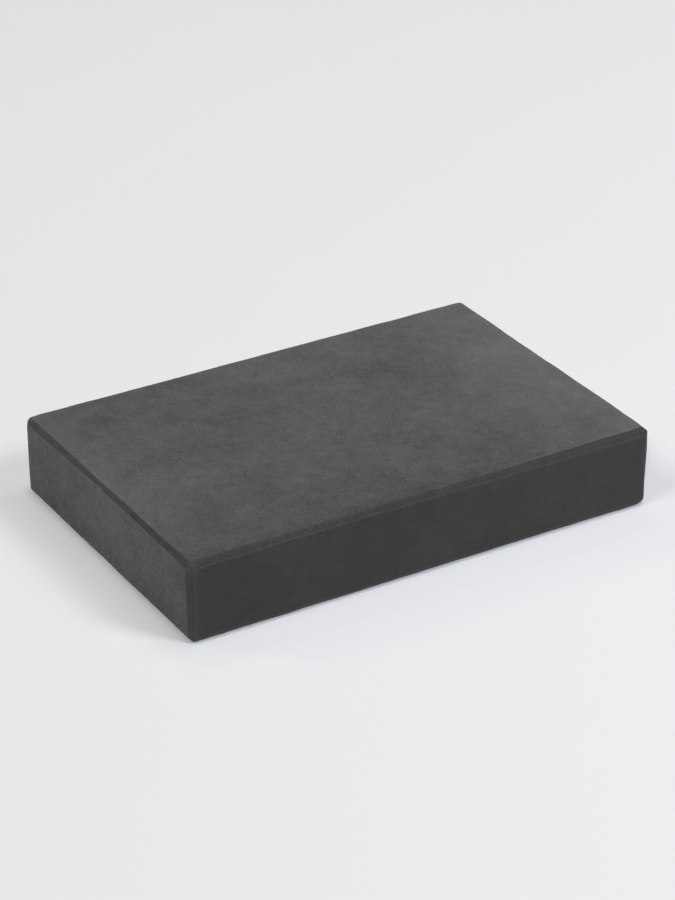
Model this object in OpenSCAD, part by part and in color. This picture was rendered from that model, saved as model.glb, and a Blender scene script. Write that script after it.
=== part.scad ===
// Foam block for balance and support exercises: one slab of dense closed-cell foam,
// with all twelve edges cut back at 45 degrees.
// +X runs along the length, +Z is up, and the origin is the centre of the base.

/* [Block] */
// Length of the block, along X
block_length = 305; // [260:1:600]
// Width of the block, along Y
block_width = 203; // [100:1:250]
// Thickness of the block, along Z
block_height = 51; // [20:0.5:90]

/* [Edges] */
// Depth of the 45 degree cut along every edge, measured on each of its two faces
edge_chamfer = 3.5; // [0.5:0.1:9]

/* [Hidden] */
charcoal = [0.29, 0.29, 0.29];

// A rectangle about the origin, with its four corners cut at 45 degrees
module cut_rectangle(across, up, cut) {
    x = across / 2;
    y = up / 2;
    polygon([
        [x, cut - y], [x, y - cut],
        [x - cut, y], [cut - x, y],
        [-x, y - cut], [-x, cut - y],
        [cut - x, -y], [x - cut, -y]
    ]);
}

// The block as seen from above, drawn out along Z: its cut corners are the four upright edges
module seen_from_above() {
    linear_extrude(height = block_height, center = true)
        cut_rectangle(block_length, block_width, edge_chamfer);
}

// The block as seen from the front, drawn out along Y: its cut corners are the four end edges
module seen_from_front() {
    rotate([90, 0, 0])
        linear_extrude(height = block_width, center = true)
            cut_rectangle(block_length, block_height, edge_chamfer);
}

// The block as seen from one end, drawn out along X: its cut corners are the four long edges
module seen_from_end() {
    rotate([90, 0, 90])
        linear_extrude(height = block_length, center = true)
            cut_rectangle(block_width, block_height, edge_chamfer);
}

// The whole block: what the three views have in common, standing on its base
module foam_block() {
    color(charcoal)
        translate([0, 0, block_height / 2])
            intersection() {
                seen_from_above();
                seen_from_front();
                seen_from_end();
            }
}

foam_block();
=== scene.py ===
"""The looks of the foam block: a detailed mesh of the slab, its sliced and its cut surfaces, a pale studio.

Lengths are metres in the CAD frame: +X along the block, +Z up, the origin at the centre of the base.
"""
import math

import bpy
import numpy as np
from mathutils import Matrix, Vector


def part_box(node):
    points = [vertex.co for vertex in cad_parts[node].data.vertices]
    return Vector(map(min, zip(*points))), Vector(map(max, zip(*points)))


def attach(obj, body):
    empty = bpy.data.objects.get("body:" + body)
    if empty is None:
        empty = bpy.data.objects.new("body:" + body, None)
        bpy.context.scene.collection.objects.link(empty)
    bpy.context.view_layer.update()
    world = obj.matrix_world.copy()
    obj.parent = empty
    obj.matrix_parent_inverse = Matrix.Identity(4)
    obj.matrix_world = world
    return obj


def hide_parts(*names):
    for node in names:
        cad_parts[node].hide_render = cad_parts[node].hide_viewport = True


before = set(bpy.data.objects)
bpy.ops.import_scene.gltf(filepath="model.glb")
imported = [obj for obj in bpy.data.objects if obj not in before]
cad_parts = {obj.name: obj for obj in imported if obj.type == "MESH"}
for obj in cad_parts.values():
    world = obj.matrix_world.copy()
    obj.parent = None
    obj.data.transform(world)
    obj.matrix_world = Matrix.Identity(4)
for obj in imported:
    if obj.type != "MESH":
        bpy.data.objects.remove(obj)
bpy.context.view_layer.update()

MM = 0.001
NODE = "foam_block"
BODY = "root"
LOW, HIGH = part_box(NODE)
CENTRE = (LOW + HIGH) / 2
HALF = np.array(HIGH - LOW) / 2
X, Y, Z = range(3)

# Camera: where it stands, seen from the middle of the block, and how its picture is framed
CAMERA_AZIMUTH = -30.65
CAMERA_ELEVATION = 28.38
CAMERA_ROLL = -0.28
CAMERA_DISTANCE = 1.829
CAMERA_LENS_MM = 124.5
AIM_RIGHT = 0.7 * MM
AIM_UP = 6.0 * MM

# Mesh: rings of the surface are close together over EDGE_ZONE, where the edges are cut, and even elsewhere
EDGE_ZONE = 8 * MM
OPEN_STEP = 1.85 * MM
EDGE_STEPS = (0, 1.4, 2.4, 3.0)          # mm from the zone's inner end, then evenly on to the corner
FINE_STEP = 0.26 * MM
FINE_END = 6.1 * MM
CORNER_STEPS = 4
ROUNDING = 0.22 * MM                     # softness of every crease
CORNER_ROUNDING = 0.55 * MM              # and how much softer the corners are, apart from
KNOWN_CORNERS = {                        # these, by their sides along X, Y and Z
    (1, -1, 1): 0.05 * MM,
    (-1, -1, -1): 0.05 * MM,
    (-1, 1, -1): 0.20 * MM,
    (1, -1, -1): 0.80 * MM,
}

# How far each edge's cut reaches on its two faces, in mm, and how much and where a hand-held cutter strayed
EDGE_CUT = 3.4
EDGE_STRAY = 0.55
KNOWN_CUTS = {
    # (axis and side of one face, axis and side of the other): cut on each, stray on each, phase on each
    ((Y, -1), (Z, 1)): ((3.62, 3.4), (0.85, 0.60), (-0.40, -0.60)),
    ((X, -1), (Z, 1)): ((2.9, 2.45), (0.60, 0.15), (-1.30, 1.28)),
    ((X, -1), (Y, -1)): ((4.2, 3.2), (0.20, 0.15), (0.50, 0.00)),
    ((X, 1), (Y, -1)): ((3.2, 3.2), (0.55, 0.20), (3.14, 0.00)),
    ((X, -1), (Y, 1)): ((2.6, 3.0), (0.15, 0.20), (-1.50, 0.00)),
    ((Y, 1), (Z, 1)): ((3.2, 2.9), (0.40, 0.05), (0.00, 0.00)),
    ((X, 1), (Z, 1)): ((2.9, 3.0), (0.10, 0.45), (3.14, 0.00)),
    ((X, -1), (Z, -1)): ((3.55, 3.5), (0.15, 0.20), (3.14, -1.60)),
    ((Y, -1), (Z, -1)): ((3.9, 3.3), (0.15, 0.15), (0.00, 0.30)),
}

WORN_REACH = 1.9 * MM                    # how far the worn front of the top blurs the cut there

# Tones of light
WHITE = (1.00, 1.00, 0.97)
COOL = (0.90, 0.93, 1.00)
BLUE = (0.80, 0.84, 1.00)
CREAM = (1.00, 0.95, 0.80)
WARM = (1.00, 0.85, 0.75)
AMBER = (1.00, 0.90, 0.30)

# The studio's lights, each with its azimuth and elevation from the block and its tone. Far ones light the
# whole floor evenly: their angular width and strength follow. Near ones make the floor a little brighter at
# the front right: their distance, side length and watts follow. The main lights, on the camera's side, are a
# little blue and those behind the block are warm, so the shadows the camera sees look a little blue.
FAR_LIGHTS = {
    "left": (-80, 52, WHITE, 18, 0.60),
    "camera_side": (-35, 33, COOL, 10, 1.44),
    "camera_side_high": (-30, 55, BLUE, 14, 0.32),
    "overhead": (12, 82, COOL, 10, 0.45),
    "behind_left": (-136, 33, AMBER, 9, 0.25),
    "behind": (160, 60, WARM, 16, 0.21),
}
NEAR_LIGHTS = {
    "front_right": (33, 41, COOL, 3.2, 0.9, 37),
    "right": (90, 70, CREAM, 3.2, 1.1, 12),
}
SUN_DISTANCE = 3.0                       # where a far light's object stands, which changes nothing
ROOM_LIGHT = 0.01

# The studio's floor and backdrop: the paper starts to fade at FLOOR_FADE and is all glow from FLOOR_RADIUS on
PAPER_SHADE = 0.82
FLOOR_RADIUS = 4.2
FLOOR_FADE = 1.2
BACKDROP_BEND = 1.0
BACKDROP_TOP = 1.4
BACKDROP_GLOW = 0.80


def direction(azimuth, elevation):
    """Unit vector from the block towards a viewer at those angles in degrees; azimuth 0 looks along +Y."""
    a, e = math.radians(azimuth), math.radians(elevation)
    return Vector((math.sin(a) * math.cos(e), -math.cos(a) * math.cos(e), math.sin(e)))


def add_camera():
    """The picture's camera: a long lens, aimed close to the middle of the block."""
    back = direction(CAMERA_AZIMUTH, CAMERA_ELEVATION)
    right = direction(CAMERA_AZIMUTH + 90, 0)
    up = back.cross(right)
    turn = Matrix((right, up, back)).transposed() @ Matrix.Rotation(math.radians(CAMERA_ROLL), 3, "Z")
    right, up, back = turn.transposed()
    place = CENTRE + AIM_RIGHT * right + AIM_UP * up + CAMERA_DISTANCE * back
    data = bpy.data.cameras.new("camera")
    data.lens = CAMERA_LENS_MM
    data.clip_start, data.clip_end = 0.05, 20
    camera = bpy.data.objects.new("camera", data)
    camera.matrix_world = Matrix.Translation(place) @ turn.to_4x4()
    bpy.context.scene.collection.objects.link(camera)
    bpy.context.scene.camera = camera


# ---------------------------------------------------------------- the foam's shape


def ripple(points, wavelength, seed):
    """Smooth random waves through space, about 1 high, as the sum of plane waves near one wavelength."""
    rng = np.random.default_rng(seed)
    waves = 24
    axes = rng.normal(size=(waves, 3))
    axes /= np.linalg.norm(axes, axis=1)[:, None]
    pace = 2 * np.pi / (wavelength * rng.uniform(0.7, 1.5, waves))
    start = rng.uniform(0, 2 * np.pi, waves)
    return np.sin(points @ (axes * pace[:, None]).T + start).sum(axis=1) / math.sqrt(waves)


def stations(half):
    """Where the surface's rings lie along one axis, from -half to half."""
    zone = [step * MM for step in EDGE_STEPS]
    zone += list(np.arange(zone[-1] + FINE_STEP, FINE_END, FINE_STEP))
    zone += list(np.linspace(FINE_END, EDGE_ZONE, CORNER_STEPS + 1))
    inner = half - EDGE_ZONE
    open_part = np.linspace(-inner, inner, round(2 * inner / OPEN_STEP) + 1)
    return np.concatenate([-inner - np.array(zone[:0:-1]), open_part, inner + np.array(zone[1:])])


def lattice():
    """Points all over a sharp-edged box of the block's size, and the quads that join them."""
    rings = [stations(h) for h in HALF]
    counts = [len(r) for r in rings]
    grid = np.stack(np.meshgrid(*rings, indexing="ij"), axis=-1)
    outer = np.zeros(counts, bool)
    for axis in range(3):
        np.moveaxis(outer, axis, 0)[[0, -1]] = True
    number = np.full(counts, -1)
    number[outer] = np.arange(outer.sum())
    quads = []
    for axis in range(3):
        for end, flip in ((0, True), (-1, False)):
            sheet = np.moveaxis(number, axis, 0)[end]
            if axis == Y:
                flip = not flip
            a, b, c, d = sheet[:-1, :-1], sheet[1:, :-1], sheet[1:, 1:], sheet[:-1, 1:]
            quad = np.stack([a, d, c, b] if flip else [a, b, c, d], axis=-1)
            quads.append(quad.reshape(-1, 4))
    return grid[outer], np.concatenate(quads)


def cut_depths(a, b, along, seed):
    """The cut's reach on each of an edge's two faces, at places from -1 to 1 along it, in metres."""
    rng = np.random.default_rng(seed)
    reach, stray, phase = KNOWN_CUTS.get((a, b), (
        EDGE_CUT + rng.uniform(-0.4, 0.4, 2), EDGE_STRAY * rng.uniform(0.4, 1, 2), rng.uniform(-3, 3, 2)))
    return [MM * (r + s * np.sin(2.9 * along + p)) for r, s, p in zip(reach, stray, phase)]


def foam_surface(sharp):
    """Moves the sharp box's points on to the foam's real surface.

    Each point lies on a ray out of a smaller box inside. The surface is where the ray meets the first of the
    six faces and twelve edge cuts. Each of these is a slightly dented plane, and a soft minimum rounds the
    creases between them.
    Returns the points, how far each is inside an edge cut, and how far it is inside a long side face.
    """
    core = np.clip(sharp, EDGE_ZONE - HALF, HALF - EDGE_ZONE)
    ray = sharp - core
    ray /= np.linalg.norm(ray, axis=1)[:, None]
    dents = (0.10 * MM * (1 + ripple(sharp, 110 * MM, 1)) + 0.020 * MM * ripple(sharp, 16 * MM, 2)
             + 0.010 * MM * ripple(sharp, 5 * MM, 3))
    nicks = 0.10 * MM * ripple(sharp, 30 * MM, 4) + 0.05 * MM * ripple(sharp, 9 * MM, 5)
    far = 1.0                            # stands for a plane that a ray doesn't meet
    least_facing = 0.05

    def reached(normal, offset):
        facing = ray @ normal
        ahead = facing > least_facing
        return np.where(ahead, (offset - core @ normal) / np.where(ahead, facing, 1), far)

    faces = {}
    for axis in range(3):
        for side in (-1, 1):
            normal = np.eye(3)[axis] * side
            faces[axis, side] = reached(normal, HALF[axis] - np.clip(dents, 0, None))
    cuts = []
    for a in faces:
        for b in faces:
            if a[0] >= b[0]:
                continue
            along_axis = 3 - a[0] - b[0]
            along = sharp[:, along_axis] / HALF[along_axis]
            reach_b, reach_a = cut_depths(a, b, along, seed=10 + len(cuts))
            # the plane cuts reach_b off face a and reach_a off face b
            length = np.hypot(reach_a, reach_b)
            pull_a, pull_b = reach_b / length, reach_a / length
            facing = pull_a * ray[:, a[0]] * a[1] + pull_b * ray[:, b[0]] * b[1]
            inside = pull_a * core[:, a[0]] * a[1] + pull_b * core[:, b[0]] * b[1]
            offset = pull_a * HALF[a[0]] + pull_b * (HALF[b[0]] - reach_b) - nicks
            ahead = facing > least_facing
            cuts.append(np.where(ahead, (offset - inside) / np.where(ahead, facing, 1), far))
    faces_met = np.array(list(faces.values()))
    every = np.concatenate([faces_met, cuts])
    nearest = every.min(axis=0)
    softer = np.full(len(sharp), CORNER_ROUNDING)
    for corner, amount in KNOWN_CORNERS.items():
        softer[(sharp * corner > 0).all(axis=1)] = amount
    from_corner = (HALF - np.abs(sharp)).max(axis=1)
    softness = ROUNDING + softer * np.clip(1 - from_corner / EDGE_ZONE, 0, 1)
    reach = nearest - softness * np.log(np.exp((nearest - every) / softness).sum(axis=0))
    long_sides = np.minimum(faces[Y, -1], faces[Y, 1])
    others = np.minimum.reduce([faces[k] for k in faces if k[0] != Y])
    in_cut = faces_met.min(axis=0) - np.min(cuts, axis=0)
    in_long_side = others - long_sides
    return core + ray * reach[:, None], in_cut, in_long_side


def add_foam():
    """The whole slab as one closed mesh, standing on its base."""
    sharp, quads = lattice()
    points, in_cut, in_long_side = foam_surface(sharp)
    points += np.array(CENTRE)
    points[:, Z] -= points[:, Z].min()
    mesh = bpy.data.meshes.new("foam_slab")
    mesh.from_pydata(points.tolist(), [], quads.tolist())
    mesh.polygons.foreach_set("use_smooth", np.ones(len(quads), bool))
    for name, values in (("in_cut", in_cut), ("in_long_side", in_long_side)):
        mesh.attributes.new(name, "FLOAT", "POINT").data.foreach_set("value", values.astype(np.float32))
    mesh.validate()
    foam = bpy.data.objects.new("foam_slab", mesh)
    bpy.context.scene.collection.objects.link(foam)
    foam.data.materials.append(foam_material())
    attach(foam, BODY)
    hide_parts(NODE)


# ---------------------------------------------------------------- materials


class Nodes:
    """A short way to write a material's node tree."""

    def __init__(self, name):
        self.material = bpy.data.materials.new(name)
        self.material.use_nodes = True
        self.tree = self.material.node_tree
        self.shader = next(n for n in self.tree.nodes if n.type == "BSDF_PRINCIPLED")

    def feed(self, socket, value):
        if isinstance(value, bpy.types.NodeSocket):
            self.tree.links.new(value, socket)
        else:
            socket.default_value = value

    def add(self, kind, inputs=None, output=0, **settings):
        node = self.tree.nodes.new(kind)
        for key, value in settings.items():
            setattr(node, key, value)
        for key, value in (inputs or {}).items():
            self.feed(node.inputs[key], value)
        return node.outputs[output]

    def math(self, operation, a, b=0.0):
        return self.add("ShaderNodeMath", {0: a, 1: b}, operation=operation)

    def plus(self, *values):
        total = values[0]
        for value in values[1:]:
            total = self.math("ADD", total, value)
        return total

    def times(self, *values):
        total = values[0]
        for value in values[1:]:
            total = self.math("MULTIPLY", total, value)
        return total

    def blend(self, factor, a, b):
        """a where factor is 0 and b where it is 1, for plain numbers."""
        return self.add("ShaderNodeMix", {"Factor": factor, "A": a, "B": b}, data_type="FLOAT")

    def step(self, value, low, high):
        """0 below low, 1 above high, smooth between."""
        return self.add("ShaderNodeMapRange", {"Value": value, "From Min": low, "From Max": high},
                        interpolation_type="SMOOTHSTEP")

    def bell(self, value, middle, width):
        """1 at middle, falling to 0 over width on either side."""
        away = self.math("ABSOLUTE", self.math("SUBTRACT", value, middle))
        return self.math("SUBTRACT", 1.0, self.step(away, 0.0, width))

    def noise(self, place, size, detail=2.0, roughness=0.5):
        """Random clouds about 0, from about -1 to 1, with features of the given size."""
        value = self.add("ShaderNodeTexNoise", {"Vector": place, "Scale": 1 / size, "Detail": detail,
                                                "Roughness": roughness})
        return self.add("ShaderNodeMapRange", {"Value": value, "From Min": 0.25, "From Max": 0.75,
                                               "To Min": -1.0, "To Max": 1.0}, clamp=False)

    def shifted(self, place, offset):
        return self.add("ShaderNodeVectorMath", {0: place, 1: offset}, operation="ADD")

    def attribute(self, name):
        return self.add("ShaderNodeAttribute", attribute_name=name, output=2)


def foam_material():
    """Charcoal foam: velvety and mottled where it was sliced, darker and smoother where it was cut."""
    n = Nodes("charcoal_foam")
    place = n.add("ShaderNodeTexCoord", output=3)
    axes = n.tree.nodes.new("ShaderNodeSeparateXYZ")
    n.feed(axes.inputs[0], place)
    along, across, up = (axes.outputs[name] for name in "XYZ")

    wander = n.noise(n.shifted(place, (0.3, 0.1, 0.2)), 7 * MM)
    gap = n.plus(n.attribute("in_cut"), n.times(wander, 0.12 * MM))
    # The front of the top is worn: the cut begins gradually there, most of all at the left. The cut between
    # the top and the left end is a rough one that left some of the velvety surface.
    worn = n.times(n.step(across, -0.080, -0.092), n.step(up, 0.040, 0.048), n.step(along, 0.13, -0.11),
                   WORN_REACH)
    patches = n.noise(n.shifted(place, (0.7, 0.4, 0.9)), 9 * MM)
    rough = n.times(n.step(along, -0.1455, -0.149), n.step(up, 0.043, 0.047),
                    n.blend(n.step(across, 0.02, 0.09), 0.17, 0.34), n.plus(1.0, n.times(patches, 0.9)))
    in_cut = n.times(n.step(gap, n.math("SUBTRACT", -0.45 * MM, worn), n.plus(0.35 * MM, n.times(worn, 0.6))),
                     n.math("SUBTRACT", 1.0, rough))
    in_long_side = n.step(n.attribute("in_long_side"), -0.4 * MM, 0.4 * MM)
    smooth = n.math("MAXIMUM", in_cut, in_long_side)
    velvet = n.math("SUBTRACT", 1.0, smooth)
    # A cut's boundary is a light line by a long side face, clearest at the left but not by the left upright,
    # partly a worn crest and partly a painted highlight along the edge, and a dark line with a light rim by a
    # sliced face. The blade's marks run along the cut.
    by_sliced = n.math("SUBTRACT", 1.0, in_long_side)
    squeezed = n.add("ShaderNodeVectorMath", {0: place, "Scale": 0.03}, operation="SCALE")
    across_cut = n.add("ShaderNodeCombineXYZ", {2: n.attribute("in_long_side")})
    marks_place = n.add("ShaderNodeVectorMath", {0: squeezed, 1: across_cut}, operation="ADD")
    marks = n.noise(marks_place, 0.9 * MM, detail=1.0)
    light_line = n.times(n.blend(n.step(along, -0.05, 0.05), 0.30, 0.21),
                         n.blend(n.step(along, -0.1455, -0.1478), 1.0, 0.45))
    lines = n.plus(n.times(n.bell(gap, 0.25 * MM, 0.8 * MM), in_long_side, light_line),
                   n.times(n.bell(gap, 0.55 * MM, 0.7 * MM), by_sliced, -0.08),
                   n.times(n.bell(gap, -1.2 * MM, 1.4 * MM), by_sliced, 0.06),
                   n.times(marks, n.step(gap, 0.0, 0.4 * MM), 0.07))

    # Mottling, about as strong at every size from clouds down to grain
    mottle = n.noise(place, 60 * MM, detail=5.0, roughness=1.0)
    clouds = n.noise(n.shifted(place, (0.5, 0.8, 0.1)), 34 * MM)
    grain = n.noise(n.shifted(place, (0.2, 0.6, 0.3)), 1.3 * MM, detail=1.0, roughness=0.8)
    specks = n.step(n.noise(n.shifted(place, (0.9, 0.2, 0.6)), 1.9 * MM, detail=0.0), 0.55, 0.95)

    # Where the sliced faces are lighter or darker as a whole
    track = n.times(n.bell(n.plus(across, n.times(clouds, 1.2 * MM)), 0.0, 4 * MM),
                    n.bell(along, 0.015, 0.085), n.step(patches, -0.8, 0.6))
    band = n.bell(n.plus(along, n.times(clouds, 5 * MM)), -0.076, 0.024)
    right_end = n.step(n.plus(along, n.times(clouds, 12 * MM), n.times(patches, 4 * MM)), 0.045, 0.170)
    left_end = n.step(n.plus(along, n.times(clouds, 6 * MM), n.times(patches, 4 * MM)), -0.112, -0.146)
    front_strip = n.times(n.step(n.plus(across, n.times(clouds, 5 * MM)), -0.025, -0.090),
                          n.step(along, 0.165, 0.095))
    end_face = n.step(n.math("ABSOLUTE", along), HALF[X] - 1.2 * MM, HALF[X] - 0.6 * MM)
    low = n.step(n.plus(up, n.times(clouds, 4 * MM)), 0.026, 0.004)
    worn_front = n.times(n.step(across, -0.084, -0.098), n.step(along, 0.09, 0.03))
    # On the top, the lighter ends and the darker strip along the front are partly the foam's own tone and
    # partly painted light and shade.
    on_top = n.plus(n.times(track, 0.05), n.times(band, -0.04), n.times(right_end, 0.33),
                    n.times(left_end, 0.07), n.times(front_strip, -0.16), n.times(worn_front, -0.13))
    # The end faces are darker as a whole, partly painted shade for less light on them, and darker towards the
    # bottom, towards the back and at the top of the front.
    on_end = n.plus(-0.066, n.times(low, -0.14), n.times(n.step(across, 0.072, 0.098), -0.06),
                    n.times(n.step(across, -0.078, -0.096), n.step(up, 0.026, 0.040), -0.13))
    tone = n.plus(1.0, n.times(mottle, 0.33), n.times(grain, 0.22), n.times(specks, 0.10),
                  n.blend(end_face, on_top, on_end))
    sliced_shade = n.times(tone, 0.0909)
    cut_grain = n.plus(0.05, n.times(worn, 0.18 / WORN_REACH))
    # The smooth surfaces are painted lighter towards the right end: painted light from the right.
    cut_tone = n.plus(0.975, n.times(along, 0.35), n.times(mottle, 0.20), n.times(grain, cut_grain),
                      n.times(specks, 0.06))
    # The cuts at the left end are painted lighter, most of all the front upright, and a little darker at the
    # middle of the top-left cut: partly painted light and shade from the left.
    by_left_end = n.step(along, -0.145, -0.149)
    cut_patch = n.plus(0.075, n.times(n.bell(across, -0.020, 0.045), -0.15),
                       n.times(n.step(across, -0.094, -0.099), 0.135))
    cut_shade = n.times(n.plus(cut_tone, n.times(by_left_end, cut_patch)),
                        n.blend(in_long_side, 0.0393, 0.0367))
    shade = n.times(n.blend(smooth, sliced_shade, cut_shade), n.plus(1.0, lines))
    # The lights in front are a little blue and those behind warm: the foam's colour is painted a little
    # warmer on the front and the cuts and a little bluer on the back, against the tint of the light that
    # falls on each.
    front = n.step(across, 0.05, -0.05)
    green = n.times(shade, n.blend(in_long_side, 1.0, n.blend(front, 1.01, 0.988)))
    cut_blue = n.blend(n.times(by_left_end, n.step(up, 0.040, 0.046)), 0.957, 0.998)
    blue = n.times(shade, n.blend(smooth, 0.995, cut_blue),
                   n.blend(in_long_side, 1.0, n.blend(front, 1.073, 0.963)))
    n.feed(n.shader.inputs["Base Color"], n.add("ShaderNodeCombineColor", {0: shade, 1: green, 2: blue}))

    n.feed(n.shader.inputs["Roughness"], n.plus(n.blend(smooth, 0.92, 0.78), n.times(patches, 0.04)))
    height = n.plus(n.times(grain, velvet, 0.06 * MM), n.times(grain, smooth, 0.012 * MM),
                    n.times(patches, 0.03 * MM))
    bump = n.add("ShaderNodeBump", {"Strength": 1.0, "Distance": 1.0, "Height": height})
    n.feed(n.shader.inputs["Normal"], bump)
    n.shader.inputs["Sheen Weight"].default_value = 0.04
    n.shader.inputs["Sheen Roughness"].default_value = 0.5
    n.shader.inputs["Specular IOR Level"].default_value = 0.2
    return n.material


def studio_material():
    """Matt pale paper near the block, which fades into an even glow far from it, like a distant backdrop."""
    n = Nodes("studio_paper")
    place = n.add("ShaderNodeTexCoord", output=3)
    level = n.add("ShaderNodeVectorMath", {0: place, 1: (1.0, 1.0, 0.0)}, operation="MULTIPLY")
    radius = n.add("ShaderNodeVectorMath", {0: level}, output=1, operation="LENGTH")
    away = n.step(radius, FLOOR_FADE, FLOOR_RADIUS)
    shade = n.times(n.plus(PAPER_SHADE, n.times(n.noise(place, 0.5), 0.004)), n.math("SUBTRACT", 1.0, away))
    n.feed(n.shader.inputs["Base Color"], n.add("ShaderNodeCombineColor", {0: shade, 1: shade, 2: shade}))
    n.feed(n.shader.inputs["Emission Strength"], n.times(away, BACKDROP_GLOW))
    n.shader.inputs["Emission Color"].default_value = (1.0, 1.0, 1.0, 1.0)
    n.shader.inputs["Roughness"].default_value = 1.0
    n.shader.inputs["Specular IOR Level"].default_value = 0.0
    return n.material


# ---------------------------------------------------------------- the studio


def add_sheet(name, points, faces, material):
    """One sheet of the studio, which isn't part of the object."""
    mesh = bpy.data.meshes.new(name)
    mesh.from_pydata(points, [], faces)
    mesh.polygons.foreach_set("use_smooth", np.ones(len(faces), bool))
    sheet = bpy.data.objects.new(name, mesh)
    sheet.data.materials.append(material)
    bpy.context.scene.collection.objects.link(sheet)
    return sheet


def add_studio():
    """A round pale floor, and a backdrop all round it that curves up out of it, outside the picture.

    The backdrop is there for a camera that looks level. It neither lights nor shades the block.
    """
    turns, steps = 96, 12
    circle = [(math.cos(2 * math.pi * k / turns), math.sin(2 * math.pi * k / turns)) for k in range(turns)]
    outline = [(FLOOR_RADIUS + BACKDROP_BEND * math.sin(turn), BACKDROP_BEND * (1 - math.cos(turn)))
               for turn in np.linspace(0, math.pi / 2, steps + 1)]
    outline.append((FLOOR_RADIUS + BACKDROP_BEND, BACKDROP_TOP))
    paper = studio_material()
    rim = [(FLOOR_RADIUS * x, FLOOR_RADIUS * y, 0.0) for x, y in circle]
    add_sheet("studio_floor", rim, [range(turns)], paper)
    points = [(radius * x, radius * y, height) for radius, height in outline for x, y in circle]
    faces = []
    for ring in range(len(outline) - 1):
        for k in range(turns):
            a, b = ring * turns + k, ring * turns + (k + 1) % turns
            faces.append((a, a + turns, b + turns, b))
    backdrop = add_sheet("studio_backdrop", points, faces, paper)
    backdrop.visible_diffuse = False
    backdrop.visible_glossy = False
    backdrop.visible_shadow = False


def add_light(name, kind, azimuth, elevation, colour, distance, strength):
    """A soft light that faces the block."""
    data = bpy.data.lights.new(name, kind)
    data.energy, data.color = strength, colour
    lamp = bpy.data.objects.new(name, data)
    away = direction(azimuth, elevation)
    turn = away.to_track_quat("Z", "Y").to_matrix().to_4x4()
    lamp.matrix_world = Matrix.Translation(CENTRE + away * distance) @ turn
    lamp.visible_camera = False
    bpy.context.scene.collection.objects.link(lamp)
    return data


def add_lights():
    """Every light of the studio, the faint light of the room, and how colours are shown."""
    for name, (azimuth, elevation, colour, width, strength) in FAR_LIGHTS.items():
        add_light(name, "SUN", azimuth, elevation, colour, SUN_DISTANCE, strength).angle = math.radians(width)
    for name, (azimuth, elevation, colour, distance, side, watts) in NEAR_LIGHTS.items():
        add_light(name, "AREA", azimuth, elevation, colour, distance, watts).size = side
    world = bpy.data.worlds.new("room")
    world.use_nodes = True
    world.node_tree.nodes["Background"].inputs["Color"].default_value = (*CREAM, 1)
    world.node_tree.nodes["Background"].inputs["Strength"].default_value = ROOM_LIGHT
    bpy.context.scene.world = world
    bpy.context.scene.view_settings.view_transform = "Standard"


add_camera()
add_foam()
add_studio()
add_lights()
